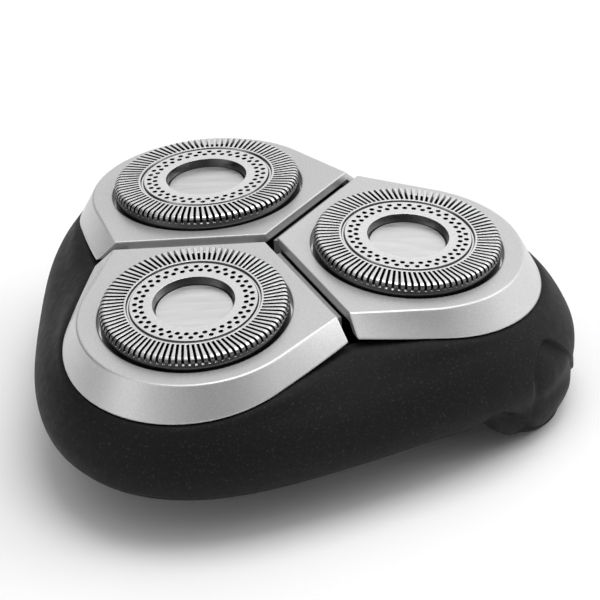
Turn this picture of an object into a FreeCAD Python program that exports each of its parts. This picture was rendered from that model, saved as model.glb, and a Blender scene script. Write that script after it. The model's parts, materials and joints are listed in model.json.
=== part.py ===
"""Shaving head of a three-head rotary shaver: a snap-on unit with its own gearbox.

Frame: the drive axis is +Z and the neck's end face is z = 0. Three equal lobes stand round the axis,
lobe 1 on +X, the others 120 and 240 degrees on. Each lobe leans outwards by LOBE_TILT and has its own
local frame: origin in the plane of the guard's top, +X outwards, +Z along the guard's axis. A height in
that frame is called h and is negative below the guard's top.

Each lobe carries, from the outside in: a bezel plate, a slotted guard with its centre disc, a ring that
retains the guard and carries the lobe on two trunnions, a cutter on its hub, a sprung spindle that
drives the hub, and the gear that turns the spindle. One drive gear in the middle turns all three.
"""

import FreeCAD
import Part

import math
import os

from FreeCAD import Placement, Rotation, Vector

# ---------------------------------------------------------------- driving dimensions (mm, degrees)
LOBES = 3
LOBE_TILT = 5.5
NECK_LENGTH = 6.5  # from the neck's end face to the housing's bottom rim
NECK_R = 10.5
NECK_WALL = 1.5
NECK_KEY_W = 2.0
NECK_KEY_DEPTH = 0.8
SEAT_R = 17.0  # shoulder round the neck, level with the rim

# guard
GUARD_R = 12.0
GUARD_T = 0.4
GUARD_EDGE_R = 0.65
RECESS_FLARE = 0.35
RECESS_DEPTH = 1.25
DISC_T = 0.25
DISC_GAP = 0.1
SLOT_BAND = 3.65  # from the guard's edge to the ring groove
HOLE_BAND = 3.1  # from the ring groove to the recess
RING_GROOVE_W = 0.5
RING_GROOVE_DEPTH = 0.3
SLOTS = 90
SLOT_W = 0.36
SLOT_SLANT = 8.0
SLOT_START = 0.25  # from the ring groove to the slots
SLOT_DROP = 0.95  # how far the slots run down the side
HOLES = 36
HOLE_R = 0.32
HOLE_PITCH_GAP = 0.78  # radial distance between the two rings of holes
HOLE_MARGIN = 0.9  # from the ring groove to the outer ring of holes
FLANGE_W = 1.0
FLANGE_T = 0.8
GUARD_PIN_R = 0.8
GUARD_PIN_LENGTH = 1.25
SINK = 0.9  # travel of a guard when it is pressed in

# bezel plate
PLATE_STAND = 1.7  # the guard's top stands this far above the plate
PLATE_T = 1.2
PLATE_RIM = 3.0  # from the guard to the crest of the bevel
PLATE_HOLE_GAP = 0.35
PLATE_WEB = 2.0  # between the guard's hole and the groove
GROOVE_W = 2.0  # between two plates
BEVEL_SLOPE = 0.58  # how far the bevel runs out for each millimetre down
BEVEL_TANGENT = 78.0  # where the round end of the outline turns straight, from the lobe's axis
BEVEL_TWIST = 2.5  # and how much earlier it does so for each millimetre down
SKIRT_T = 1.0
SKIRT_H = 4.55  # the skirt's lower edge, below the guard's top, at the lobe's centre
SKIRT_FALL = 0.085  # and its fall outwards, per millimetre
CREST_FILLET = 0.35
PLATE_EDGE_R = 0.15

# retaining ring and trunnions
RING_GAP = 0.15
RING_WALL = 0.75
RING_T = 1.8
RING_LIP = 2.4  # how far the ring's bore is inside the guard's side
PIVOT_H = 5.8  # the tilt axis, below the guard's top
TRUNNION_R = 0.9
TRUNNION_LENGTH = 1.4
POST_T = 0.9
POST_HALF_W = 1.4
POST_TOP = 1.45
TILT_SWING = 4.0

# cutter and hub
BLADES = 15
BLADE_T = 0.4
BLADE_RAKE = 20.0
BLADE_GAP = 0.1  # under the guard
BLADE_INSET = 0.3  # inside the guard's rounded edge, and outside its recess
BLADE_SPLIT = 0.6  # from the ring groove to each track of blades
BLADE_RING_T = 0.35
BLADE_H = 2.7
HUB_R = 3.2
HUB_BELOW = 1.4  # below the tilt axis
HUB_FLANGE_T = 0.7
HUB_FLANGE_INSET = 4.0  # inside the guard's side
HUB_GAP = 0.35  # under the recess
SOCKET_ABOVE = 1.5

# spindle, its spring and the gears
TIP_W = 2.5
TIP_HALF_H = 1.15
TIP_ROUND = 0.3
SOCKET_GAP = 0.3
SPINDLE_NECK_R = 1.1
SPINDLE_R = 2.0
SPINDLE_FLAT = 1.45
SPINDLE_LENGTH = 3.8
SPINDLE_GAP = 0.1
HUB_ROOM = 0.85  # between the hub and the spindle's shoulder
BARREL_WALL = 0.9
BARREL_RISE = 1.4
SPRING_WIRE_R = 0.22
SPRING_TURNS = 3
SPRING_GAP = 0.05
TILT_SPRING_R = 1.35
TILT_SPRING_WIRE_R = 0.2
TILT_SPRING_TURNS = 5
TILT_SPRING_INSET = 0.15  # from the retaining ring's side
DRIVE_TEETH = 15
SPINDLE_TEETH = 28
PRESSURE_ANGLE = 20.0
BACKLASH = 0.12
GEAR_T = 2.8
GEAR_GAP = 0.5
RUNNING_GAP = 0.05
DRIVE_BARREL_R = 4.2
DRIVE_RECESS = 0.5
SOCKET_AF = 3.9
SOCKET_DEPTH = 5.0
BUSH_WALL = 1.1
BUSH_LENGTH = 5.0
BUSH_FLANGE_T = 0.6
BUSH_FLANGE_W = 1.0

# housing, gearbox and divider
WALL = 1.7
LEDGE = 1.0
FIT_GAP = 0.15
BASE_T = 1.4
BASE_RECESS = 0.4
COVER_T = 1.4
SKIRT_GAP = 0.25
CORNER_GAP_START = 3.0  # from here inwards the gap under the skirt opens
CORNER_GAP_SLOPE = 0.09
SCREW_INSET = 1.35  # from the housing's ledge to a screw's boss
SCREW_R = 1.1
SCREW_HEAD_R = 2.15
SCREW_HEAD_T = 0.8
SCREW_SLOT_W = 0.5
SCREW_LENGTH = 4.6
SCREW_BOSS_R = 2.4
CHIN_OVERHANG = 2.0  # how far the chin starts inside the edge of lobe 1's guard
CHIN_CLEAR = 0.1
CHIN_THICK = 5.0
CHIN_SPREAD = 36.0  # half the chin's angle round the axis
PAD_ANGLE = 27.0
# the pad's arch: across the pad, towards the chin's middle, and up from the rim
PAD_ARCH = [
    (-4.9, -9.5),
    (-4.9, 1.0),
    (-4.6, 2.7),
    (-3.9, 4.7),
    (-2.4, 6.4),
    (-0.4, 7.2),
    (1.4, 6.6),
    (3.0, 4.5),
    (5.2, 2.1),
    (7.3, -0.1),
    (9.6, -2.5),
    (9.6, -9.5),
]
PAD_SPREAD = 27.0  # half the angle, round the drive axis, over which the pads' step fades out
PAD_TOP = 9.6  # below the guard's top
PAD_FOOT = 19.5
PAD_STEP = 0.75
# the step under the body where the chin starts: outwards from the edge of lobe 1 and up from the rim
SCOOP_STEP = 0.8
SCOOP_LINE = [
    (-3.3, -0.3),
    (-2.5, 1.3),
    (-1.4, 2.0),
    (-0.4, 2.0),
    (0.7, 1.5),
    (2.0, 0.1),
    (3.6, -2.1),
    (5.2, -5.9),
]
DIVIDER_W = 1.1
DIVIDER_DROP = 1.5  # below the plates' top
DIVIDER_POST_R = 1.7
DIVIDER_PEG_R = 1.0
DIVIDER_PEG_LENGTH = 0.7
JOURNAL_LENGTH = 0.4
DIVIDER_REACH = 3.4  # inside the housing's outer surface at the grooves

# Outer surface of the housing. Each row is a level: its share of the depth from the guard's top to the
# rim, then how far the surface stands outside the base outline at the lobe's tip, 20 and 40 degrees
# round from it, and at the groove; then what the chin adds at lobe 1's tip.
LEVELS = [
    (0.140, 1.3, 0.7, -0.5, -0.9, 0.0),
    (0.190, 2.2, 1.7, 0.9, 0.8, 0.0),
    (0.256, 3.3, 3.1, 2.7, 2.4, 0.0),
    (0.335, 4.3, 4.3, 4.4, 4.2, 0.0),
    (0.430, 5.2, 5.4, 5.8, 6.0, 0.1),
    (0.556, 6.6, 6.9, 7.6, 8.0, 0.3),
    (0.694, 7.7, 7.9, 8.7, 9.2, 0.5),
    (0.806, 8.1, 8.2, 8.9, 9.6, 0.8),
    (0.917, 7.6, 7.6, 8.2, 9.0, 1.4),
    (1.000, 6.4, 6.3, 6.8, 7.6, 2.4),
    (1.120, 5.9, 5.8, 6.3, 7.1, 2.9),
    (1.250, 5.4, 5.3, 5.8, 6.6, 2.6),
    (1.380, 4.4, 4.3, 4.8, 5.6, 1.6),
]

# ---------------------------------------------------------------- sizes that follow from those
TILT = math.radians(LOBE_TILT)
RING_GROOVE_R = GUARD_R - SLOT_BAND
RECESS_R = RING_GROOVE_R - HOLE_BAND
RING_BORE_R = GUARD_R - RING_LIP
HUB_FLANGE_R = GUARD_R - HUB_FLANGE_INSET
SOCKET_W = TIP_W + 2 * SOCKET_GAP
PLATE_HOLE_R = GUARD_R + PLATE_HOLE_GAP
LOBE_R = (PLATE_HOLE_R + PLATE_WEB + GROOVE_W / 2) / math.sin(math.pi / LOBES)
PIVOT_R = LOBE_R - PIVOT_H * math.sin(TILT)
MODULE = 2 * PIVOT_R / (DRIVE_TEETH + SPINDLE_TEETH)
FLANGE_R = GUARD_R + FLANGE_W
RING_R = FLANGE_R + RING_GAP + RING_WALL
TILT_SPRING_U = RING_R - TILT_SPRING_INSET - TILT_SPRING_R - TILT_SPRING_WIRE_R
WALL_AT_GROOVE = LOBE_R * math.cos(math.pi / LOBES) + GUARD_R + LEVELS[9][4] - WALL
SCREW_PLACE_R = WALL_AT_GROOVE - LEDGE - SCREW_INSET - SCREW_BOSS_R
PLATE_H = -PLATE_STAND
PLATE_UNDER_H = PLATE_H - PLATE_T
FLANGE_TOP_H = PLATE_UNDER_H - RUNNING_GAP
FLANGE_H = FLANGE_TOP_H - FLANGE_T
RING_TOP_H = FLANGE_H - SINK - RING_GAP
RING_BOTTOM_H = RING_TOP_H - RING_T
TILT_SPRING_REACH = LOBE_R - TILT_SPRING_U * math.cos(TILT) + RING_BOTTOM_H * math.sin(TILT)
BARREL_R = SPINDLE_R + SPINDLE_GAP + BARREL_WALL
SHOULDER_DROP = HUB_BELOW + HUB_R * math.sin(TILT) + HUB_ROOM
BARREL_DROP = SHOULDER_DROP + SINK + 2 * SPINDLE_GAP

CORNER_SINK = LOBE_R * math.sin(math.radians(TILT_SWING)) + 0.25

# heights measured down from the guard's top, in the housing's frame
PIVOT_D = PIVOT_H * math.cos(TILT)
BARREL_TOP_D = PIVOT_D + BARREL_DROP
COVER_TOP_D = BARREL_TOP_D + BARREL_RISE
COVER_BOTTOM_D = COVER_TOP_D + COVER_T
GEAR_TOP_D = COVER_BOTTOM_D + GEAR_GAP
GEAR_BOTTOM_D = GEAR_TOP_D + GEAR_T
BASE_TOP_D = GEAR_BOTTOM_D + GEAR_GAP
BASE_BOTTOM_D = BASE_TOP_D + BASE_T
BODY_DEPTH = BASE_BOTTOM_D + BASE_RECESS
GUARD_Z = NECK_LENGTH + BODY_DEPTH

RIM_Z = NECK_LENGTH
PIVOT_Z = GUARD_Z - PIVOT_D
BARREL_TOP_Z = GUARD_Z - BARREL_TOP_D
COVER_TOP_Z = GUARD_Z - COVER_TOP_D
COVER_BOTTOM_Z = GUARD_Z - COVER_BOTTOM_D
GEAR_TOP_Z = GUARD_Z - GEAR_TOP_D
GEAR_BOTTOM_Z = GUARD_Z - GEAR_BOTTOM_D
BASE_TOP_Z = GUARD_Z - BASE_TOP_D
BASE_BOTTOM_Z = GUARD_Z - BASE_BOTTOM_D

FAR = 120.0  # larger than the whole object
UP = Vector(0, 0, 1)
ORIGIN = Vector(0, 0, 0)


# ---------------------------------------------------------------- helpers
def lobe_angle(lobe):
    return 360.0 / LOBES * (lobe - 1)


def in_lobe(shape, lobe):
    """A copy of a shape drawn in a lobe's local frame, put in its place."""
    lean = Placement(Vector(LOBE_R, 0, GUARD_Z), Rotation(Vector(0, 1, 0), LOBE_TILT))
    return turned(shape, lobe, lean)


def turned(shape, lobe, first=Placement()):
    """A copy of a shape drawn for lobe 1 in the housing's frame, turned to another lobe."""
    turn = Placement(ORIGIN, Rotation(UP, lobe_angle(lobe)))
    copy = shape.copy()
    copy.Placement = turn.multiply(first).multiply(shape.Placement)
    return copy


def stood(shape, lobe, reach):
    """A copy of a shape drawn on the drive axis, moved out to a lobe without being turned."""
    a = math.radians(lobe_angle(lobe))
    copy = shape.copy()
    copy.translate(Vector(reach * math.cos(a), reach * math.sin(a), 0))
    return copy


def cylinder(radius, bottom, top, x=0.0, y=0.0):
    return Part.makeCylinder(radius, top - bottom, Vector(x, y, bottom), UP)


def box(x0, x1, y0, y1, z0, z1):
    return Part.makeBox(x1 - x0, y1 - y0, z1 - z0, Vector(x0, y0, z0))


def slab(bottom, top):
    return box(-FAR, FAR, -FAR, FAR, bottom, top)


def revolved(points):
    """A solid of revolution about +Z from (radius, height) corners."""
    wire = Part.makePolygon([Vector(r, 0, h) for r, h in points + points[:1]])
    return Part.Face(wire).revolve(ORIGIN, UP, 360)


def prism(points, bottom, top):
    """A prism with a polygon of (x, y) corners as its section."""
    wire = Part.makePolygon([Vector(x, y, bottom) for x, y in points + points[:1]])
    return Part.Face(wire).extrude(Vector(0, 0, top - bottom))


def polygon(sides, flat_radius, first_angle=0.0):
    corner = flat_radius / math.cos(math.pi / sides)
    turns = [math.radians(first_angle) + 2 * math.pi * (k + 0.5) / sides for k in range(sides)]
    return [(corner * math.cos(a), corner * math.sin(a)) for a in turns]


def coil(mean_radius, wire_radius, turns, bottom, top):
    """A compression spring with its wire's centreline between two heights."""
    height = top - bottom - 2 * wire_radius
    path = Part.makeHelix(height / turns, height, mean_radius)
    path.translate(Vector(0, 0, bottom + wire_radius))
    start = Vector(mean_radius, 0, bottom + wire_radius)
    section = Part.Wire(Part.makeCircle(wire_radius, start, Vector(0, 1, 0)))
    return Part.Wire(path.Edges).makePipeShell([section], True, True)


def gear(teeth, thickness, first_angle):
    """A spur gear standing on z = 0, with one tooth centred on first_angle degrees."""
    pitch_r = MODULE * teeth / 2
    base_r = pitch_r * math.cos(math.radians(PRESSURE_ANGLE))
    root_r = pitch_r - 1.25 * MODULE
    tip_r = pitch_r + MODULE

    def involute(radius):
        turn = math.acos(min(1.0, base_r / radius))
        return math.tan(turn) - turn

    half_pitch_tooth = (math.pi * MODULE / 2 - BACKLASH) / 2 / pitch_r
    start_r = max(base_r, root_r)
    steps = 4
    radii = [start_r + (tip_r - start_r) * k / steps for k in range(steps + 1)]
    flank = [(r, half_pitch_tooth + involute(pitch_r) - involute(r)) for r in radii]
    root_half = flank[0][1]
    side = [(root_r, root_half)] + flank if root_r < start_r else flank
    corners = []
    for tooth in range(teeth):
        middle = math.radians(first_angle) + 2 * math.pi * tooth / teeth
        corners += [(r, middle - a) for r, a in side]
        corners += [(r, middle + a) for r, a in reversed(side)]
    return prism([(r * math.cos(a), r * math.sin(a)) for r, a in corners], 0.0, thickness)


# ---------------------------------------------------------------- housing
def harmonics(tip, shoulder, flank, side):
    """Cosine terms, of three times the angle, that fit the values at 0, 20, 40 and 60 degrees round."""
    mean = (tip + side + 2 * shoulder + 2 * flank) / 6
    first = (tip - side + shoulder - flank) / 3
    second = (tip + side - shoulder - flank) / 3
    third = (tip - side - 2 * shoulder + 2 * flank) / 6
    return mean, first, second, third


def outline(level, inset, pad=0.0):
    """The housing's section at one level, as a closed smooth curve."""
    depth, tip, shoulder, flank, side, chin = level
    mean, first, second, third = harmonics(tip, shoulder, flank, side)
    tip_base = LOBE_R + GUARD_R
    side_base = LOBE_R * math.cos(math.pi / LOBES) + GUARD_R
    points = []
    for degrees in range(0, 360, 10):
        a = math.radians(degrees)
        away = min(degrees, 360 - degrees)
        chin_bump = chin * math.exp(-((away / CHIN_SPREAD) ** 4))
        pad_dip = pad * math.exp(-((away / PAD_SPREAD) ** 4))
        base = side_base + (tip_base - side_base) * (1 + math.cos(3 * a)) / 2
        stand = mean + first * math.cos(3 * a) + second * math.cos(6 * a) + third * math.cos(9 * a)
        r = base + stand + chin_bump - pad_dip - inset
        points.append(Vector(r * math.cos(a), r * math.sin(a), GUARD_Z - depth * BODY_DEPTH))
    curve = Part.BSplineCurve()
    curve.interpolate(points, PeriodicFlag=True)
    return Part.Wire(curve.toShape())


def body_form(inset, pad_step=0.0):
    """The housing's outer form, moved in by inset. A pad step moves the chin's upper part in too."""
    wires = []
    for level in LEVELS:
        below = level[0] * BODY_DEPTH
        share = (PAD_FOOT - 4.0 - below) / (PAD_FOOT - 4.0 - PAD_TOP)
        wires.append(outline(level, inset, pad_step * max(0.0, min(1.0, share))))
    return Part.makeLoft(wires, True, False)


def roof_plane(drop_at_centre, fall):
    """Everything above a plane in a lobe's frame: h = -drop_at_centre - fall * x."""
    block = box(-FAR, FAR, -FAR, FAR, 0, FAR)
    block.rotate(ORIGIN, Vector(0, 1, 0), math.degrees(math.atan(fall)))
    block.translate(Vector(0, 0, -drop_at_centre))
    return block


def above_housing():
    """What lies above the housing's scalloped top edge: the room for the three plates."""
    corner_fall = SKIRT_FALL - CORNER_GAP_SLOPE
    corner_drop = SKIRT_H + SKIRT_GAP + CORNER_GAP_SLOPE * CORNER_GAP_START
    planes = [roof_plane(SKIRT_H + SKIRT_GAP, SKIRT_FALL), roof_plane(corner_drop, corner_fall)]
    return [in_lobe(plane, lobe) for lobe in range(1, LOBES + 1) for plane in planes]


def below_housing():
    """What lies below the rim: a profile in the XZ plane that drops at lobe 1 to leave the chin."""
    start = LOBE_R + GUARD_R - CHIN_OVERHANG
    end = LOBE_R + GUARD_R + LEVELS[0][1] + 7.5
    middle = (start + end) / 2 - 0.3
    low = CHIN_CLEAR
    edge = [
        Part.LineSegment(Vector(-FAR, -FAR, RIM_Z), Vector(start, -FAR, RIM_Z)),
        Part.Arc(
            Vector(start, -FAR, RIM_Z),
            Vector(middle, -FAR, low + 0.34 * (RIM_Z - low)),
            Vector(end, -FAR, low),
        ),
        Part.LineSegment(Vector(end, -FAR, low), Vector(FAR, -FAR, low)),
        Part.LineSegment(Vector(FAR, -FAR, low), Vector(FAR, -FAR, -FAR)),
        Part.LineSegment(Vector(FAR, -FAR, -FAR), Vector(-FAR, -FAR, -FAR)),
        Part.LineSegment(Vector(-FAR, -FAR, -FAR), Vector(-FAR, -FAR, RIM_Z)),
    ]
    wire = Part.Wire([part.toShape() for part in edge])
    return Part.Face(wire).extrude(Vector(0, 2 * FAR, 0))


def pad_prism(side):
    """An arched prism that bounds one finger pad, on the side of lobe 1 given by its sign."""
    arch = [Vector(-side * across, 0, RIM_Z + up) for across, up in PAD_ARCH]
    face = Part.Face(Part.makePolygon(arch + arch[:1]))
    face.rotate(ORIGIN, UP, 90 + side * PAD_ANGLE)
    face.translate(Vector(LOBE_R, 0, 0))
    turn = math.radians(side * PAD_ANGLE)
    return face.extrude(Vector(math.cos(turn), math.sin(turn), 0) * FAR)


def scoop_prism():
    """What lies under the line along which the body steps in above the chin."""
    line = [(LOBE_R + GUARD_R + x, RIM_Z + z) for x, z in SCOOP_LINE]
    points = [(line[0][0], -FAR), *line, (line[-1][0], -FAR)]
    edge = [Vector(x, -FAR, z) for x, z in points]
    face = Part.Face(Part.makePolygon(edge + edge[:1]))
    return face.extrude(Vector(0, 2 * FAR, 0))


def housing():
    form = body_form(0.0)
    inner = body_form(WALL)
    ledge = body_form(WALL + LEDGE)
    cavity = [
        inner.common(slab(RIM_Z, BASE_TOP_Z)),
        ledge.common(slab(BASE_TOP_Z, COVER_BOTTOM_Z)),
        inner.common(slab(COVER_BOTTOM_Z, GUARD_Z)),
    ]
    pads = body_form(0.0, PAD_STEP)
    step = form.cut(pads).common(pad_prism(-1).fuse(pad_prism(1)))
    scoop = form.cut(body_form(SCOOP_STEP)).common(scoop_prism())
    chin_room = cylinder(CHIN_INNER_R, -FAR, RIM_Z, LOBE_R)
    shell = form.cut(above_housing() + [below_housing()])
    return shell.cut(cavity).cut([step, scoop, chin_room, slab(-FAR, RIM_Z).common(NOT_CHIN)])


# the chin is what is left of the form between these two, below the rim
CHIN_INNER_R = GUARD_R + LEVELS[9][1] + LEVELS[9][5] - CHIN_THICK
NOT_CHIN = box(-FAR, LOBE_R, -FAR, FAR, -FAR, FAR)


# ---------------------------------------------------------------- gearbox: base, cover, divider, screws
def screw_places():
    a = math.pi / LOBES
    return SCREW_PLACE_R * math.cos(a), SCREW_PLACE_R * math.sin(a)


def gearbox_base():
    """Bottom plate of the gearbox with the neck that plugs into the shaver's handle."""
    plate = body_form(WALL + FIT_GAP).common(slab(BASE_BOTTOM_Z, BASE_TOP_Z))
    neck = cylinder(NECK_R, 0, BASE_BOTTOM_Z + 0.2)
    seat = cylinder(SEAT_R, RIM_Z, BASE_BOTTOM_Z + 0.2)
    base = plate.fuse([neck, seat])
    bush_r = DRIVE_BARREL_R + RUNNING_GAP + BUSH_WALL
    cuts = [
        cylinder(bush_r, -1, NECK_WALL + 1),
        revolved(
            [
                (0, NECK_WALL),
                (NECK_R - NECK_WALL, NECK_WALL),
                (NECK_R - NECK_WALL, FAR / 4),
                (0, FAR / 4),
            ]
        ),
    ]
    for lobe in range(1, LOBES + 1):
        key = box(NECK_R - NECK_KEY_DEPTH, FAR, -NECK_KEY_W / 2, NECK_KEY_W / 2, -1, RIM_Z - 1.6)
        cuts.append(turned(key, lobe))
        x, y = screw_places()
        hole = cylinder(SCREW_R + 0.1, -1, FAR / 4, x, y)
        sink = cylinder(SCREW_HEAD_R + 0.1, -1, BASE_BOTTOM_Z + SCREW_HEAD_T + 0.05, x, y)
        cuts += [turned(hole, lobe), turned(sink, lobe)]
        pocket = cylinder(BARREL_R + RUNNING_GAP, GEAR_BOTTOM_Z - GEAR_GAP - 0.7, FAR / 4, PIVOT_R)
        cuts.append(turned(pocket, lobe))
    return base.cut(cuts)


def gearbox_cover():
    """Top plate of the gearbox: bearings for the spindle gears, screw bosses and the trunnion posts."""
    plate = body_form(WALL + FIT_GAP).common(slab(COVER_BOTTOM_Z, COVER_TOP_Z))
    adds, cuts = [], []
    x, y = screw_places()
    hole_top = BASE_BOTTOM_Z + SCREW_HEAD_T + SCREW_LENGTH + 0.2
    for lobe in range(1, LOBES + 1):
        adds.append(turned(cylinder(SCREW_BOSS_R, BASE_TOP_Z, COVER_TOP_Z, x, y), lobe))
        cuts.append(turned(cylinder(SCREW_R + 0.05, BASE_TOP_Z - 1, hole_top, x, y), lobe))
        cuts.append(turned(cylinder(BARREL_R + RUNNING_GAP, BASE_TOP_Z, FAR / 4, PIVOT_R), lobe))
        for side in (-1, 1):
            inner = side * (RING_R + 0.1)
            outer = inner + side * POST_T
            low, high = min(inner, outer), max(inner, outer)
            post = box(-POST_HALF_W, POST_HALF_W, low, high, COVER_TOP_Z - 0.2, PIVOT_Z + POST_TOP)
            post.translate(Vector(PIVOT_R, 0, 0))
            adds.append(turned(post, lobe))
        start = Vector(PIVOT_R, -FAR / 4, PIVOT_Z)
        bearing = Part.makeCylinder(TRUNNION_R + RUNNING_GAP, FAR / 2, start, Vector(0, 1, 0))
        cuts.append(turned(bearing, lobe))
    journal_r = DRIVE_BARREL_R / 2 + RUNNING_GAP
    cuts.append(cylinder(journal_r, COVER_BOTTOM_Z - 1, COVER_BOTTOM_Z + JOURNAL_LENGTH + 0.1))
    cuts.append(cylinder(DIVIDER_PEG_R, COVER_TOP_Z - DIVIDER_PEG_LENGTH, FAR / 4))
    return plate.fuse(adds).cut(cuts)


def divider():
    """Three thin ribs that fill the bottom of the grooves between the plates, on one central post."""
    reach = LOBE_R * math.cos(math.pi / LOBES) + GUARD_R + LEVELS[1][4] - DIVIDER_REACH
    low = GUARD_Z - PIVOT_H - 0.6
    ribs = []
    for lobe in range(1, LOBES + 1):
        rib = box(0, reach, -DIVIDER_W / 2, DIVIDER_W / 2, low, GUARD_Z)
        rib.rotate(ORIGIN, UP, 180.0 / LOBES)
        ribs.append(turned(rib, lobe))
    post = cylinder(DIVIDER_POST_R, COVER_TOP_Z, low + 0.6)
    body = ribs[0].fuse(ribs[1:] + [post])
    top = roof_plane(PLATE_STAND + DIVIDER_DROP, 0.0)
    tops = [in_lobe(top, lobe) for lobe in range(1, LOBES + 1)]
    tops.append(cylinder(DIVIDER_POST_R + 0.2, GUARD_Z - PLATE_STAND - PLATE_T - CORNER_SINK, GUARD_Z))
    peg = cylinder(DIVIDER_PEG_R, COVER_TOP_Z - DIVIDER_PEG_LENGTH, COVER_TOP_Z + 0.1)
    return body.cut(tops).fuse(peg)


def screw(length, radius):
    """A slotted screw with its head's outer face on z = 0, pointing up."""
    body = cylinder(SCREW_HEAD_R, 0, SCREW_HEAD_T).fuse(cylinder(radius, 0, SCREW_HEAD_T + length))
    slot = box(-FAR, FAR, -SCREW_SLOT_W / 2, SCREW_SLOT_W / 2, -1, SCREW_HEAD_T / 2)
    return body.cut(slot)


def base_screws():
    x, y = screw_places()
    one = screw(SCREW_LENGTH, SCREW_R)
    one.translate(Vector(x, y, BASE_BOTTOM_Z + 0.02))
    return Part.makeCompound([turned(one, lobe) for lobe in range(1, LOBES + 1)])


# ---------------------------------------------------------------- drive gear and bush
def drive_gear():
    """Central gear; its barrel runs down through the neck and ends in a hexagonal drive socket."""
    teeth = gear(DRIVE_TEETH, GEAR_T, 0.0)
    teeth.translate(Vector(0, 0, GEAR_BOTTOM_Z))
    barrel = cylinder(DRIVE_BARREL_R, DRIVE_RECESS, GEAR_BOTTOM_Z + 0.1)
    journal = cylinder(DRIVE_BARREL_R / 2, GEAR_TOP_Z - 0.1, COVER_BOTTOM_Z + JOURNAL_LENGTH)
    socket = prism(polygon(6, SOCKET_AF / 2), DRIVE_RECESS - 1, DRIVE_RECESS + SOCKET_DEPTH)
    return teeth.fuse([barrel, journal]).cut(socket)


def drive_bush():
    """Flanged bearing bush in the neck's end."""
    inner = DRIVE_BARREL_R + RUNNING_GAP
    outer = inner + BUSH_WALL
    flange = outer + BUSH_FLANGE_W
    return revolved(
        [
            (inner, 0.1),
            (outer, 0.1),
            (outer, NECK_WALL),
            (flange, NECK_WALL),
            (flange, NECK_WALL + BUSH_FLANGE_T),
            (outer, NECK_WALL + BUSH_FLANGE_T),
            (outer, BUSH_LENGTH),
            (inner, BUSH_LENGTH),
        ]
    )


# ---------------------------------------------------------------- spindle gear, spindle and its spring
SPRING_FLOOR_Z = GEAR_BOTTOM_Z + 0.6
SHOULDER_Z = PIVOT_Z - SHOULDER_DROP
SPINDLE_BOTTOM_Z = SHOULDER_Z - SPINDLE_LENGTH


def d_section(radius, flat, bottom, top):
    """A round bar with one flat, which keys the spindle to its gear."""
    return cylinder(radius, bottom, top).cut(box(flat, FAR, -FAR, FAR, bottom - 1, top + 1))


def spindle_gear():
    first = 180.0 / SPINDLE_TEETH + 180.0
    teeth = gear(SPINDLE_TEETH, GEAR_T, first)
    teeth.translate(Vector(0, 0, GEAR_BOTTOM_Z))
    barrel = cylinder(BARREL_R, BASE_TOP_Z - 0.6, BARREL_TOP_Z)
    bore = d_section(SPINDLE_R + SPINDLE_GAP, SPINDLE_FLAT + SPINDLE_GAP, SPRING_FLOOR_Z, FAR / 4)
    body = teeth.fuse(barrel).cut(bore)
    body.translate(Vector(PIVOT_R, 0, 0))
    return body


def spindle():
    """Sliding drive pin: a keyed shaft, a slim neck and a rounded square tip in the cutter hub's socket."""
    shaft = d_section(SPINDLE_R, SPINDLE_FLAT, SPINDLE_BOTTOM_Z, SHOULDER_Z)
    neck = cylinder(SPINDLE_NECK_R, SHOULDER_Z - 0.1, PIVOT_Z)
    tip = box(-TIP_W / 2, TIP_W / 2, -TIP_W / 2, TIP_W / 2, PIVOT_Z - TIP_HALF_H, PIVOT_Z + TIP_HALF_H)
    tip = tip.makeFillet(TIP_ROUND, tip.Edges)
    body = shaft.fuse([neck, tip])
    body.translate(Vector(PIVOT_R, 0, 0))
    return body


def spindle_spring():
    mean = SPINDLE_FLAT - SPRING_WIRE_R - SPRING_GAP
    return coil(mean, SPRING_WIRE_R, SPRING_TURNS, SPRING_FLOOR_Z + 0.02, SPINDLE_BOTTOM_Z - 0.02)


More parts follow.
